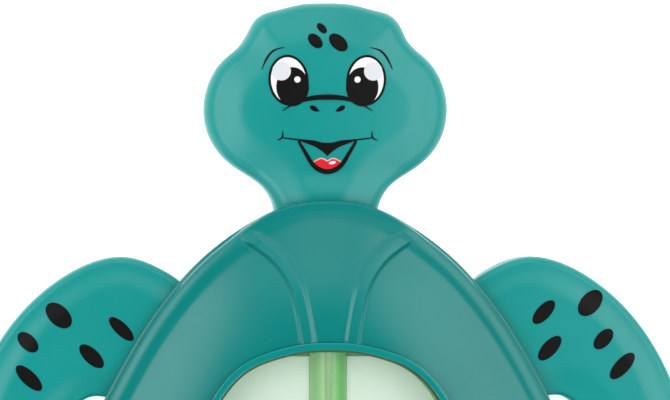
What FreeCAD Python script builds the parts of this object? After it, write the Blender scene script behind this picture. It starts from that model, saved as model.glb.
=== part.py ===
"""Floating pool thermometer shaped as a turtle, in millimetres.

+Z is up, out of the water, and the head points along +Y. The origin is under the middle of the
whole object, on the plane that its flat belly rests on. The turtle floats belly down: a glass
thermometer lies along its back under a clear window in the shell, and the bulb hangs in a
flooded well that is open through the belly.
"""

import FreeCAD
import Part
import math
import os

Vector = FreeCAD.Vector

# ---------------------------------------------------------------- driving dimensions
overall_length = 184.0
head_width = 48.8
head_length = 41.4
shell_length = 136.0
shell_width = 113.0
shell_front_from_nose = 39.4
flipper_half_span = 71.2
window_length = 64.0
window_width = 57.0
window_front_from_nose = 69.0
tube_radius = 3.8
wall = 2.0

nose_y = overall_length / 2
tail_y = -overall_length / 2
shell_front_y = nose_y - shell_front_from_nose
shell_rear_y = shell_front_y - shell_length
window_front_y = nose_y - window_front_from_nose
window_rear_y = window_front_y - window_length

# Heights, from the plane the belly rests on.
limb_bottom_z = 3.2
parting_z = 9.5
limb_top_z = 15.8
rim_z = 16.0
bead_crest_z = 19.5
valley_z = 19.35
plateau_z = 24.0
bezel_top_z = 25.0
ledge_z = 21.9
collar_z = 20.1
tube_z = 16.0

# Clearances.
slip = 0.1
loose = 0.3

# A reach past every piece, for cutting tools.
far = 99.0

# ---------------------------------------------------------------- outlines
# Half outlines run from the front of the piece to its rear on the +X side, as fractions
# (distance behind the front / length, half-width / greatest half-width).
HEAD_HALF = (
    (0.0, 0.0),
    (0.005, 0.197),
    (0.034, 0.406),
    (0.058, 0.532),
    (0.097, 0.600),
    (0.180, 0.672),
    (0.275, 0.840),
    (0.400, 0.967),
    (0.517, 1.0),
    (0.662, 0.943),
    (0.787, 0.762),
    (0.889, 0.516),
    (1.0, 0.422),
    (1.28, 0.42),
    (1.38, 0.0),
)
SHELL_HALF = (
    (0.0, 0.0),
    (0.003, 0.097),
    (0.0145, 0.188),
    (0.044, 0.315),
    (0.088, 0.450),
    (0.132, 0.547),
    (0.191, 0.650),
    (0.250, 0.733),
    (0.293, 0.788),
    (0.372, 0.876),
    (0.453, 0.945),
    (0.593, 1.0),
    (0.720, 0.955),
    (0.830, 0.832),
    (0.915, 0.637),
    (0.975, 0.360),
    (1.0, 0.0),
)
WINDOW_HALF = (
    (0.0, 0.0),
    (0.005, 0.193),
    (0.020, 0.344),
    (0.058, 0.558),
    (0.090, 0.649),
    (0.153, 0.761),
    (0.268, 0.884),
    (0.402, 0.975),
    (0.543, 1.0),
    (0.717, 0.933),
    (0.866, 0.751),
    (0.972, 0.421),
    (1.0, 0.0),
)
# Flippers go round the +X paddle from its hidden root, as fractions
# (distance from the centre line / half span, distance behind the front of the paddle / length).
FRONT_FLIPPER = (
    (0.379, 0.163),
    (0.470, 0.048),
    (0.576, 0.0),
    (0.667, 0.030),
    (0.747, 0.096),
    (0.846, 0.226),
    (0.912, 0.357),
    (0.959, 0.487),
    (0.992, 0.630),
    (1.0, 0.772),
    (0.986, 0.902),
    (0.941, 0.991),
    (0.879, 0.978),
    (0.808, 0.835),
    (0.730, 0.683),
    (0.656, 0.600),
    (0.562, 0.620),
    (0.449, 0.522),
)
REAR_FLIPPER = (
    (0.585, 0.20),
    (0.723, 0.10),
    (0.831, 0.14),
    (0.923, 0.28),
    (0.985, 0.48),
    (1.0, 0.70),
    (0.962, 0.89),
    (0.877, 0.985),
    (0.785, 0.93),
    (0.708, 0.78),
    (0.600, 0.64),
    (0.515, 0.53),
    (0.505, 0.36),
)
front_flipper_y = 41.3
front_flipper_length = 46.3
rear_flipper_y = -48.0
rear_flipper_length = 37.0
rear_flipper_half_span = 65.0


def mirrored(half, front_y, length, half_width):
    """The closed outline of a symmetric piece, from the fractions of its +X half."""
    right = [(half_width * out, front_y - length * back) for back, out in half]
    left = [(-x, y) for x, y in reversed(right[1:-1])]
    return right + left


def paddle(fractions, front_y, length, half_span, side):
    """The outline of the flipper on one side, +1 or -1."""
    points = [(side * half_span * out, front_y - length * back) for out, back in fractions]
    return points if side > 0 else points[::-1]


def closed_curve(points, z=0.0):
    """A smooth closed curve through the points."""
    curve = Part.BSplineCurve()
    curve.interpolate(Points=[Vector(x, y, z) for x, y in points], PeriodicFlag=True)
    return curve


def offset(points, distance, samples=48):
    """Points of a clockwise outline moved outwards by the distance, or inwards if negative."""
    curve = closed_curve(points)
    first, last = curve.FirstParameter, curve.LastParameter
    moved = []
    for step in range(samples):
        at = first + (last - first) * step / samples
        place = curve.value(at)
        along = curve.tangent(at)[0]
        moved.append((place.x - along.y * distance, place.y + along.x * distance))
    return moved


def scaled(points, across, lengthwise, middle_y):
    """The outline scaled about a point on the centre line."""
    return [(x * across, middle_y + (y - middle_y) * lengthwise) for x, y in points]


def blend(start, end, share):
    """The outline part of the way from one to another with the same number of points."""
    return [
        (a[0] + (b[0] - a[0]) * share, a[1] + (b[1] - a[1]) * share)
        for a, b in zip(start, end)
    ]


HEAD = mirrored(HEAD_HALF, nose_y, head_length, head_width / 2)
SHELL = mirrored(SHELL_HALF, shell_front_y, shell_length, shell_width / 2)
WINDOW = mirrored(WINDOW_HALF, window_front_y, window_length, window_width / 2)


# ---------------------------------------------------------------- shape helpers
def wire(points, z):
    return Part.Wire([closed_curve(points, z).toShape()])


def prism(points, low_z, high_z):
    """A straight-walled solid on a smooth outline."""
    face = Part.Face(wire(points, low_z))
    return face.extrude(Vector(0, 0, high_z - low_z))


def block(low, high):
    """A box from its lowest and highest corners."""
    size = [b - a for a, b in zip(low, high)]
    return Part.makeBox(size[0], size[1], size[2], Vector(*low))


def upright(x, y, radius, low_z, high_z):
    """A cylinder along Z."""
    return Part.makeCylinder(radius, high_z - low_z, Vector(x, y, low_z))


def lying(radius, low_y, high_y):
    """A cylinder along the thermometer's own axis."""
    return Part.makeCylinder(radius, high_y - low_y, Vector(0, low_y, tube_z), Vector(0, 1, 0))


def fused(shapes):
    whole = shapes[0]
    for shape in shapes[1:]:
        whole = whole.fuse(shape)
    return whole


def cut_by(shape, tools):
    for tool in tools:
        shape = shape.cut(tool)
    return shape


def pillow(points, flat_z, face_z, depth, steps=5):
    """A solid from a flat plane at flat_z to a face at face_z whose edge rolls over by depth."""
    towards = 1 if face_z > flat_z else -1
    sections = [wire(offset(points, 0.0), flat_z)]
    for step in range(steps + 1):
        angle = math.pi / 2 * step / steps
        inset = depth * (1 - math.cos(angle))
        z = face_z - towards * depth * (1 - math.sin(angle))
        sections.append(wire(offset(points, -inset), z))
    return Part.makeLoft(sections, True, True)


# ---------------------------------------------------------------- carapace
rim_bead_width = 4.8
plateau_across = 0.58
plateau_lengthwise = 0.70
plateau_focus_y = -33.4
dome_power = 1.6
rib_height = 0.5
rib_width = 3.2
carapace_wall = 1.6
bezel_width = 1.5
bezel_skirt = 0.6
collar_width = 5.0
tray_flange = 1.6
pilot_radius = 1.2
post_radius = 3.4
SCREW_PLACES = ((14.0, 34.0), (41.0, -8.0), (36.0, -55.0))
TRAY_SCREW_STEPS = (1, 5, 7, 11)

# Rings of the shell's edge: (distance inside the outline, height).
RIM_BEAD = (
    (0.0, rim_z + 0.9),
    (0.35, rim_z + 1.0),
    (0.7, bead_crest_z - 0.9),
    (1.8, bead_crest_z - 0.25),
    (3.3, bead_crest_z),
)
# Middle lines of the raised ribs on the +X side, from the window to the rim.
FRONT_RIB = (
    (3.8, 22.0),
    (4.4, 26.5),
    (5.1, 30.5),
    (6.2, 35.2),
    (8.0, 38.9),
    (10.8, 42.2),
    (14.0, 44.6),
    (17.4, 46.6),
)
REAR_RIB = ((10.0, -39.0), (11.5, -46.0), (14.0, -53.0), (18.0, -60.0), (23.0, -66.0), (28.5, -70.5))


def on_both_sides(places):
    """The places and their mirror images across the centre line."""
    return [(side * x, y) for x, y in places for side in (1, -1)]


def dome(shrink, drop, foot_z):
    """The solid under the shell's outer skin, shrunk sideways and dropped to give its inside."""
    valley = offset(SHELL, -rim_bead_width - shrink)
    plateau = scaled(offset(SHELL, -shrink), plateau_across, plateau_lengthwise, plateau_focus_y)
    sections = [wire(offset(SHELL, -shrink), foot_z)]
    sections += [wire(offset(SHELL, -inset - shrink), z - drop) for inset, z in RIM_BEAD]
    for share in (0.0, 0.12, 0.3, 0.5, 0.75, 1.0):
        rise = (plateau_z - valley_z) * (1 - (1 - share) ** dome_power)
        sections.append(wire(blend(valley, plateau, share), valley_z + rise - drop))
    return Part.makeLoft(sections, True, True)


def open_curve(points):
    """A smooth curve through the points, at height 0."""
    curve = Part.BSplineCurve()
    curve.interpolate(Points=[Vector(x, y, 0) for x, y in points])
    return curve


def rib_band(points, steps=8):
    """A tall solid over one rib, whose middle line runs through the points."""
    middle = open_curve(points)
    first, last = middle.FirstParameter, middle.LastParameter
    edges = ([], [])
    for step in range(steps + 1):
        at = first + (last - first) * step / steps
        place = middle.value(at)
        along = middle.tangent(at)[0]
        for row, across in zip(edges, (rib_width / 2, -rib_width / 2)):
            row.append((place.x - along.y * across, place.y + along.x * across))
    sides = [open_curve(row).toShape() for row in edges]
    ends = [
        Part.makeLine(Vector(*edges[0][end], 0), Vector(*edges[1][end], 0)) for end in (0, -1)
    ]
    outline = Part.Wire(Part.__sortEdges__(sides + ends))
    return Part.Face(outline).extrude(Vector(0, 0, far))


def rib_lines():
    """The middle lines of all four ribs."""
    return [[(side * x, y) for x, y in line] for line in (FRONT_RIB, REAR_RIB) for side in (1, -1)]


def flange_places():
    """Where the four screws hold the tray to the shell."""
    middle_of_flange = offset(WINDOW, collar_width - 2.0, 12)
    return [middle_of_flange[step] for step in TRAY_SCREW_STEPS]


def carapace():
    """The domed top of the shell, with its window opening, ribs and screw bosses."""
    outside = dome(0.0, 0.0, rim_z)
    inside = dome(carapace_wall, carapace_wall, rim_z - wall)
    raised = outside.copy()
    raised.translate(Vector(0, 0, rib_height))
    ribs = [raised.common(rib_band(line)).cut(inside) for line in rib_lines()]
    collar = prism(offset(WINDOW, collar_width), collar_z, plateau_z).common(outside)
    places = on_both_sides(SCREW_PLACES)
    bosses = [upright(x, y, post_radius, rim_z, plateau_z).common(outside) for x, y in places]
    shell = fused([outside.cut(inside), collar] + ribs + bosses)
    pilots = [upright(x, y, pilot_radius, rim_z - 1, bead_crest_z) for x, y in places]
    opening = prism(WINDOW, rim_z, far)
    rebate = prism(offset(WINDOW, bezel_width + slip / 2), ledge_z, far)
    tray_pilots = [
        upright(x, y, tray_screw_radius, collar_z - 1, collar_z + tray_screw_bite + slip)
        for x, y in flange_places()
    ]
    return cut_by(shell, [opening, rebate] + pilots + tray_pilots)


# ---------------------------------------------------------------- window
lens_thickness = 1.4
bezel_lip = 0.9
gasket_lip = 0.3
lens_top_z = bezel_top_z - bezel_lip


def ring(outer, inner, low_z, high_z):
    """A straight-walled ring between two distances outside the window's edge."""
    whole = prism(offset(WINDOW, outer), low_z, high_z)
    return whole.cut(prism(offset(WINDOW, inner), low_z - 1, high_z + 1))


def window_bezel():
    """The raised ring that snaps into the shell and holds the lens down."""
    lip = ring(bezel_width, 0.0, lens_top_z, bezel_top_z)
    skirt = ring(bezel_width, bezel_width - bezel_skirt, ledge_z, lens_top_z)
    return lip.fuse(skirt)


def window_lens():
    """The clear flat lens."""
    outline = offset(WINDOW, bezel_width - bezel_skirt - slip)
    return prism(outline, lens_top_z - lens_thickness, lens_top_z)


def lens_gasket():
    """The soft seal between the lens and the shell's ledge."""
    return ring(bezel_width - bezel_skirt - slip, -gasket_lip, ledge_z, lens_top_z - lens_thickness)


# ---------------------------------------------------------------- tray and cards
tray_floor_z = 16.2
tray_bottom_z = 14.6
tray_inset = 0.4
card_thickness = 0.5
card_top_y = window_front_y - 1.5
peg_radius = 0.8
peg_height = 0.4
peg_x = 15.0
peg_y = -30.0
channel_radius = tube_radius + 0.15
channel_wall = 1.4
tongue_y = 33.0
tongue_half_width = 8.0
tongue_top_z = tube_z - channel_radius
tray_screw_radius = 1.0
tray_screw_bite = 1.4
tray_screw_head_radius = 1.9
tray_screw_head = 1.2
drive_depth = 0.6
drive_width = 0.4


def card_tray():
    """The dish that carries the cards and the tube under the window."""
    dish = prism(offset(WINDOW, 1.0), tray_bottom_z, collar_z)
    flange = prism(offset(WINDOW, collar_width), collar_z - tray_flange, collar_z)
    trough = lying(channel_radius + channel_wall, window_rear_y - 1.0, window_front_y + 1.0)
    tongue_bottom_z = tongue_top_z - channel_wall
    tongue = block(
        (-tongue_half_width, window_front_y - 1.0, tongue_bottom_z),
        (tongue_half_width, tongue_y, tongue_top_z),
    )
    web = block(
        (-tongue_half_width, window_front_y - 1.0, tongue_bottom_z),
        (tongue_half_width, window_front_y + 1.0, tray_bottom_z + 1.0),
    )
    body = fused([dish, flange, trough, tongue, web])
    hollow = prism(offset(WINDOW, -tray_inset), tray_floor_z, collar_z + 1)
    above = block((-far, -far, collar_z), (far, far, far))
    channel = lying(channel_radius, -far, far)
    holes = [
        upright(x, y, tray_screw_radius + slip, collar_z - 3, collar_z + 1)
        for x, y in flange_places()
    ]
    pegs = [
        upright(x, y, peg_radius, tray_floor_z - slip, tray_floor_z + peg_height)
        for x, y in on_both_sides([(peg_x, peg_y)])
    ]
    return cut_by(body, [hollow, above, channel] + holes).fuse(fused(pegs))


def scale_card(side):
    """The pale printed card on one side of the tube, resting on the tray's floor."""
    outline = offset(WINDOW, -tray_inset - slip)
    sheet = prism(outline, tray_floor_z, tray_floor_z + card_thickness)
    low_x, high_x = sorted((side * (tube_radius + slip), -side * far))
    other_side = block((low_x, -far, 0), (high_x, far, far))
    above = block((-far, card_top_y, 0), (far, far, far))
    peg_hole = upright(side * peg_x, peg_y, peg_radius + slip / 2, 0, far)
    return cut_by(sheet, [other_side, above, peg_hole])


def celsius_card():
    return scale_card(-1)


def fahrenheit_card():
    return scale_card(1)


def tray_screw(x, y):
    """One short screw that points up, with a slot across its head."""
    seat_z = collar_z - tray_flange
    bottom_z = seat_z - tray_screw_head
    shank = upright(x, y, tray_screw_radius, seat_z, collar_z + tray_screw_bite)
    head = upright(x, y, tray_screw_head_radius, bottom_z, seat_z)
    drive = block(
        (x - tray_screw_head_radius, y - drive_width / 2, bottom_z - 1),
        (x + tray_screw_head_radius, y + drive_width / 2, bottom_z + drive_depth),
    )
    return shank.fuse(head).cut(drive)


def tray_screws():
    """Four self-tapping screws up into the shell's window collar."""
    return Part.makeCompound([tray_screw(x, y) for x, y in flange_places()])


# ---------------------------------------------------------------- thermometer
tube_low_y = -44.0
tube_high_y = 31.0
tube_wall = 0.9
stem_radius = 1.3
bore_radius = 0.65
column_radius = 0.6
bulb_radius = 2.4
bulb_bore_radius = 1.7
bulb_end_y = -70.0
bulb_overlap = 0.6
column_rest_top_y = -14.0
column_rest_low_y = -56.0
plug_depth = 2.0
plug_head = 1.8
strip_thickness = 0.5
strip_edge_z = tube_z - 0.6
clip_low_y = 26.0
clip_high_y = 30.0
clip_half_width = 5.8
clip_mouth_half_width = 3.3
clip_top_z = tube_z + 2.2


def thermometer_tube():
    """The outer tube, closed at the bulb end around the stem."""
    outer = lying(tube_radius, tube_low_y, tube_high_y)
    hollow = lying(tube_radius - tube_wall, tube_low_y + 1.0, tube_high_y + 1)
    stem_hole = lying(stem_radius + slip / 5, tube_low_y - 1, tube_low_y + 2)
    return cut_by(outer, [hollow, stem_hole])


def capillary_stem():
    """The thin glass stem with the bore that the spirit rises in."""
    outer = lying(stem_radius, tube_low_y - bulb_overlap, tube_high_y - 2 * plug_depth)
    return outer.cut(lying(bore_radius, tube_low_y - 2, tube_high_y - 3 * plug_depth))


def tube_backing():
    """The green half-round strip behind the stem, which makes the column easy to see."""
    outer_radius = tube_radius - tube_wall - slip / 3
    half = lying(outer_radius, tube_low_y + 1.5, tube_high_y - plug_depth - 0.5)
    above = block((-far, -far, strip_edge_z), (far, far, far))
    return cut_by(half, [lying(outer_radius - strip_thickness, -far, far), above])


def bulb():
    """The glass bulb, which holds the spirit and hangs in the flooded well."""
    end = Vector(0, bulb_end_y, tube_z)
    outer = lying(bulb_radius, bulb_end_y, tube_low_y)
    outer = outer.fuse(Part.makeSphere(bulb_radius, end))
    inner = lying(bulb_bore_radius, bulb_end_y, tube_low_y - bulb_overlap)
    inner = inner.fuse(Part.makeSphere(bulb_bore_radius, end))
    stem_seat = lying(stem_radius, tube_low_y - bulb_overlap - slip, tube_low_y + 1)
    return cut_by(outer, [inner, stem_seat])


def spirit_column():
    """The thread of green spirit. Its lower end runs inside the bulb."""
    return lying(column_radius, column_rest_low_y, column_rest_top_y)


def tube_plug():
    """The rubber plug in the upper end of the tube."""
    inner = lying(tube_radius - tube_wall, tube_high_y - plug_depth, tube_high_y)
    return inner.fuse(lying(tube_radius, tube_high_y, tube_high_y + plug_head))


def tube_clip():
    """The snap saddle that holds the tube's upper end on the tray's tongue."""
    saddle = block(
        (-clip_half_width, clip_low_y, tongue_top_z), (clip_half_width, clip_high_y, clip_top_z)
    )
    mouth = block((-clip_mouth_half_width, -far, tube_z), (clip_mouth_half_width, far, far))
    return cut_by(saddle, [lying(tube_radius + slip / 5, -far, far), mouth])


# ---------------------------------------------------------------- hollow body
EYELET = (0.0, tail_y + 5.4)
eyelet_bore_radius = 2.0
eyelet_radius = 3.0
eyelet_flange = 0.5
eyelet_flange_thickness = 0.7
tail_end_radius = 5.4
tail_root_half_width = 9.0
tail_low_z = limb_bottom_z + 2.0
tail_high_z = limb_top_z - 2.0
well_half_width = 5.2
well_wall = 1.2
well_front_y = -47.5
well_rear_y = -74.0
well_top_z = 19.4
well_roof = 0.7
grommet_radius = 3.0
grommet_flange = 0.6
grommet_flange_thickness = 0.8
belly_inset = 6.0
belly_roll = 2.0
edge_roll = 3.2
deck_inset = 0.4
deck_width = 4.0
seal_depth = 0.6
seal_outer_inset = 0.8
seal_inner_inset = 1.6
plug_radius = 2.6
counterbore_z = 5.0
screw_hole_radius = 1.6
screw_head_radius = 2.3
screw_head = 1.6
recess_radius = 0.9
recess_depth = 0.9
PADDLES = (
    (FRONT_FLIPPER, front_flipper_y, front_flipper_length, flipper_half_span),
    (REAR_FLIPPER, rear_flipper_y, rear_flipper_length, rear_flipper_half_span),
)


def limb_outlines():
    """The outlines of the head and the four flippers."""
    outlines = [HEAD]
    for fractions, front_y, length, half_span in PADDLES:
        outlines += [paddle(fractions, front_y, length, half_span, side) for side in (1, -1)]
    return outlines


def tail(low_z, high_z):
    """The tapered tail with a round end."""
    centre_x, centre_y = EYELET
    root_y = shell_rear_y + 6.0
    root = tail_root_half_width
    end = tail_end_radius
    corners = [(-root, root_y), (root, root_y), (end, centre_y), (-end, centre_y)]
    points = [Vector(x, y, low_z) for x, y in corners]
    taper = Part.Face(Part.makePolygon(points + points[:1])).extrude(Vector(0, 0, high_z - low_z))
    return taper.fuse(upright(centre_x, centre_y, end, low_z, high_z))


def seal_ring(low_z, high_z):
    """A ring under the shell's rim."""
    outer = prism(offset(SHELL, -seal_outer_inset), low_z, high_z)
    return outer.cut(prism(offset(SHELL, -seal_inner_inset), low_z - 1, high_z + 1))


def body_top():
    """The upper half of the head, flippers, tail and the deck under the shell."""
    limbs = [pillow(outline, parting_z, limb_top_z, edge_roll) for outline in limb_outlines()]
    deck = prism(offset(SHELL, -deck_inset), parting_z, rim_z)
    whole = fused([deck, tail(parting_z, tail_high_z)] + limbs)
    cavities = [
        prism(offset(outline, -wall), parting_z - 1, limb_top_z - wall)
        for outline in limb_outlines()
    ]
    inside = prism(offset(SHELL, -deck_inset - wall), parting_z - 1, rim_z - wall)
    opening = prism(offset(SHELL, -deck_inset - deck_width), parting_z - 1, rim_z + 1)
    eyelet_hole = upright(*EYELET, eyelet_radius, parting_z - 1, rim_z)
    post_room = [
        upright(x, y, post_radius + loose, parting_z - 1, rim_z + 1)
        for x, y in on_both_sides(SCREW_PLACES)
    ]
    groove = seal_ring(rim_z - seal_depth, rim_z + 1)
    return cut_by(whole, cavities + [inside, opening, eyelet_hole, groove] + post_room)


def rim_seal():
    """The soft ring that seals the shell to the deck."""
    return seal_ring(rim_z - seal_depth, rim_z)


def well(outset, low_z, high_z):
    """The box of the bulb's well. outset is how far it stands outside the flooded room."""
    return block(
        (-well_half_width - outset, well_rear_y + well_wall - outset, low_z),
        (well_half_width + outset, well_front_y - well_wall + outset, high_z),
    )


def body_bottom():
    """The lower half: belly, undersides of the limbs, screw posts and the bulb's well."""
    limbs = [pillow(outline, parting_z, limb_bottom_z, edge_roll) for outline in limb_outlines()]
    hull = prism(offset(SHELL, -deck_inset), limb_bottom_z, parting_z)
    belly = pillow(offset(SHELL, -belly_inset), limb_bottom_z + 1.0, 0.0, belly_roll)
    whole = fused([hull, belly, tail(tail_low_z, parting_z)] + limbs)
    floor_z = limb_bottom_z + wall
    cavities = [prism(offset(outline, -wall), floor_z, parting_z + 1) for outline in limb_outlines()]
    inside = prism(offset(SHELL, -deck_inset - wall), floor_z, parting_z + 1)
    belly_inside = prism(offset(SHELL, -belly_inset - wall), wall, parting_z + 1)
    whole = cut_by(whole, cavities + [inside, belly_inside])
    places = on_both_sides(SCREW_PLACES)
    posts = [upright(x, y, post_radius, wall / 2, rim_z - slip) for x, y in places]
    whole = fused([whole, well(well_wall, wall / 2, well_top_z)] + posts)
    flooded = well(0.0, -1, well_top_z - well_roof)
    grommet_hole = lying(grommet_radius, well_front_y - 3, well_front_y + 1)
    screw_holes = [upright(x, y, screw_hole_radius, -1, rim_z) for x, y in places]
    counterbores = [upright(x, y, plug_radius, -1, counterbore_z) for x, y in places]
    eyelet_hole = upright(*EYELET, eyelet_radius, 0, parting_z + 1)
    return cut_by(whole, [flooded, grommet_hole, eyelet_hole] + screw_holes + counterbores)


def bulb_grommet():
    """The rubber seal where the bulb passes into the well."""
    flange_end_y = well_front_y + grommet_flange_thickness
    body = lying(grommet_radius, well_front_y - well_wall, flange_end_y)
    flange = lying(grommet_radius + grommet_flange, well_front_y, flange_end_y)
    return body.fuse(flange).cut(lying(bulb_radius, -far, 0))


guard_low_z = 0.3
guard_high_z = 1.7
guard_slots = 7
slot_half_length = 3.6
slot_width = 1.8


def bulb_guard():
    """The slotted grille flush with the belly, which lets water to the bulb."""
    low_y = well_rear_y + well_wall
    high_y = well_front_y - well_wall
    plate = well(0.0, guard_low_z, guard_high_z)
    pitch = (high_y - low_y) / guard_slots
    slots = []
    for index in range(guard_slots):
        middle = low_y + pitch * (index + 0.5)
        slots.append(
            block(
                (-slot_half_length, middle - slot_width / 2, guard_low_z - 1),
                (slot_half_length, middle + slot_width / 2, guard_high_z + 1),
            )
        )
    return cut_by(plate, slots)


# ---------------------------------------------------------------- fasteners and fittings
def body_screw(x, y):
    """One long screw that points up, with a round recess in its head."""
    bottom_z = counterbore_z - screw_head
    shank = upright(x, y, pilot_radius, counterbore_z, bead_crest_z - 0.6)
    head = upright(x, y, screw_head_radius, bottom_z, counterbore_z)
    recess = upright(x, y, recess_radius, bottom_z - 1, bottom_z + recess_depth)
    return shank.fuse(head).cut(recess)


def body_screws():
    """Six long self-tapping screws from the belly up into the shell."""
    return Part.makeCompound([body_screw(x, y) for x, y in on_both_sides(SCREW_PLACES)])


def screw_plugs():
    """Six soft plugs that keep water out of the screw holes."""
    top_z = counterbore_z - screw_head - 0.4
    plugs = [upright(x, y, plug_radius, 0.2, top_z) for x, y in on_both_sides(SCREW_PLACES)]
    return Part.makeCompound(plugs)


BALLAST_LOW = (-20.0, -18.0)
BALLAST_HIGH = (20.0, 26.0)
BALLAST_SCREW_Y = (-12.0, 20.0)
ballast_thickness = 2.5
ballast_corner = 4.0
ballast_screw_radius = 1.3
ballast_screw_head = 1.3
ballast_top_z = wall + ballast_thickness


def ballast_weight():
    """The steel plate on the floor that keeps the turtle belly down."""
    plate = block((*BALLAST_LOW, wall), (*BALLAST_HIGH, ballast_top_z))
    corners = [edge for edge in plate.Edges if edge.BoundBox.ZLength > ballast_thickness / 2]
    plate = plate.makeFillet(ballast_corner, corners)
    return cut_by(plate, [upright(0, y, ballast_screw_radius, 0, far) for y in BALLAST_SCREW_Y])


def ballast_screw(y):
    """One short screw that points down, with a slot across its head."""
    head_radius = 2 * ballast_screw_radius
    top_z = ballast_top_z + ballast_screw_head
    shank = upright(0, y, ballast_screw_radius, wall, ballast_top_z)
    head = upright(0, y, head_radius, ballast_top_z, top_z)
    slot = block(
        (-head_radius, y - drive_width * 0.75, top_z - drive_depth),
        (head_radius, y + drive_width * 0.75, far),
    )
    return shank.fuse(head).cut(slot)


def ballast_screws():
    """Two short screws through the weight into the floor."""
    return Part.makeCompound([ballast_screw(y) for y in BALLAST_SCREW_Y])


def tail_eyelet():
    """The bushed hole in the tail for a tether."""
    flange_radius = eyelet_radius + eyelet_flange
    sleeve = upright(*EYELET, eyelet_radius, tail_low_z, tail_high_z)
    flange_bottom = upright(*EYELET, flange_radius, tail_low_z - eyelet_flange_thickness, tail_low_z)
    flange_top = upright(*EYELET, flange_radius, tail_high_z, tail_high_z + eyelet_flange_thickness)
    whole = fused([sleeve, flange_bottom, flange_top])
    return whole.cut(upright(*EYELET, eyelet_bore_radius, 0, far))


PIECES = {
    "carapace": carapace,
    "window_bezel": window_bezel,
    "window_lens": window_lens,
    "lens_gasket": lens_gasket,
    "celsius_card": celsius_card,
    "fahrenheit_card": fahrenheit_card,
    "card_tray": card_tray,
    "tray_screws": tray_screws,
    "thermometer_tube": thermometer_tube,
    "capillary_stem": capillary_stem,
    "tube_backing": tube_backing,
    "bulb": bulb,
    "spirit_column": spirit_column,
    "tube_plug": tube_plug,
    "tube_clip": tube_clip,
    "body_top": body_top,
    "body_bottom": body_bottom,
    "rim_seal": rim_seal,
    "bulb_grommet": bulb_grommet,
    "bulb_guard": bulb_guard,
    "body_screws": body_screws,
    "screw_plugs": screw_plugs,
    "ballast_weight": ballast_weight,
    "ballast_screws": ballast_screws,
    "tail_eyelet": tail_eyelet,
}


def main():
    """Make every piece, check it and write its STEP file."""
    os.makedirs("parts", exist_ok=True)
    for name, make in PIECES.items():
        shape = make()
        shape.exportStep("parts/" + name + ".step")
        box = shape.optimalBoundingBox(False)
        corners = (box.XMin, box.XMax, box.YMin, box.YMax, box.ZMin, box.ZMax)
        print(name, shape.isValid(), len(shape.Solids), round(shape.Volume, 1))
        print("   ", [round(value, 2) for value in corners])


main()
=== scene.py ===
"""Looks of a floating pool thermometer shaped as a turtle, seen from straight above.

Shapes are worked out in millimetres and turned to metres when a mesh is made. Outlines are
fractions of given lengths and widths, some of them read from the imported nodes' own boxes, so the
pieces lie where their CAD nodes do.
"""
import math

import bpy
import numpy as np
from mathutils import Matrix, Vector, geometry


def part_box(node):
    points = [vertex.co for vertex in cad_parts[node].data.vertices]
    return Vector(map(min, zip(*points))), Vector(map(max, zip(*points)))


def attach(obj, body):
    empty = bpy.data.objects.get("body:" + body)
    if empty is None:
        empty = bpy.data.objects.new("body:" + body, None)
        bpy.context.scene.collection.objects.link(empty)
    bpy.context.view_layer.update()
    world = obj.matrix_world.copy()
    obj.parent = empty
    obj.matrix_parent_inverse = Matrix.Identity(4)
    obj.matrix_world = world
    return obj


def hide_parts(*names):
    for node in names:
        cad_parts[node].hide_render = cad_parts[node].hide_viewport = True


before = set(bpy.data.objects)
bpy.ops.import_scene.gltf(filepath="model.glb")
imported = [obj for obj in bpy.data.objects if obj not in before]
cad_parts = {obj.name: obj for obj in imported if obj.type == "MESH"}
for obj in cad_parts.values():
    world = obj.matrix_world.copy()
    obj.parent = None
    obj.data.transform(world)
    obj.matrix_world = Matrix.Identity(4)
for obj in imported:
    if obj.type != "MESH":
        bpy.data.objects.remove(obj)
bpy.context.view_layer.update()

MM = 0.001


def box_mm(node):
    """The node's lowest and highest corners in millimetres."""
    low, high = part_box(node)
    return np.array(low) / MM, np.array(high) / MM


body_low, body_high = box_mm("body_top")
shell_low, shell_high = box_mm("carapace")
bezel_low, bezel_high = box_mm("window_bezel")
card_low, card_high = box_mm("celsius_card")
eyelet_low, eyelet_high = box_mm("tail_eyelet")
tray_top_z = box_mm("card_tray")[1][2]
gasket_top_z = box_mm("lens_gasket")[1][2]
tube_radius = box_mm("thermometer_tube")[1][0]

nose_y = -body_low[1]
parting_z = body_low[2]
rim_z = shell_low[2]
limb_top_z = rim_z - 0.2
bezel_width = 1.5

# ---------------------------------------------------------------- outlines
# Half outlines run from the front of the piece to its rear on the +X side, as fractions
# (distance behind the front / length, half-width / greatest half-width).
HEAD_HALF = (
    (0.0, 0.0), (0.005, 0.197), (0.034, 0.406), (0.058, 0.532), (0.097, 0.600), (0.180, 0.672),
    (0.275, 0.840), (0.400, 0.967), (0.517, 1.0), (0.662, 0.943), (0.787, 0.762),
    (0.889, 0.516), (1.0, 0.422), (1.28, 0.42), (1.38, 0.0),
)
SHELL_HALF = (
    (0.0, 0.0), (0.003, 0.097), (0.0145, 0.188), (0.044, 0.315), (0.088, 0.450),
    (0.132, 0.547), (0.191, 0.650), (0.250, 0.733), (0.293, 0.788), (0.372, 0.876),
    (0.453, 0.945), (0.593, 1.0), (0.720, 0.955), (0.830, 0.832), (0.915, 0.637),
    (0.975, 0.360), (1.0, 0.0),
)
WINDOW_HALF = (
    (0.0, 0.0), (0.005, 0.193), (0.020, 0.344), (0.058, 0.558), (0.090, 0.649),
    (0.153, 0.761), (0.268, 0.884), (0.402, 0.975), (0.543, 1.0), (0.717, 0.933),
    (0.866, 0.751), (0.972, 0.421), (1.0, 0.0),
)
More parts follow.
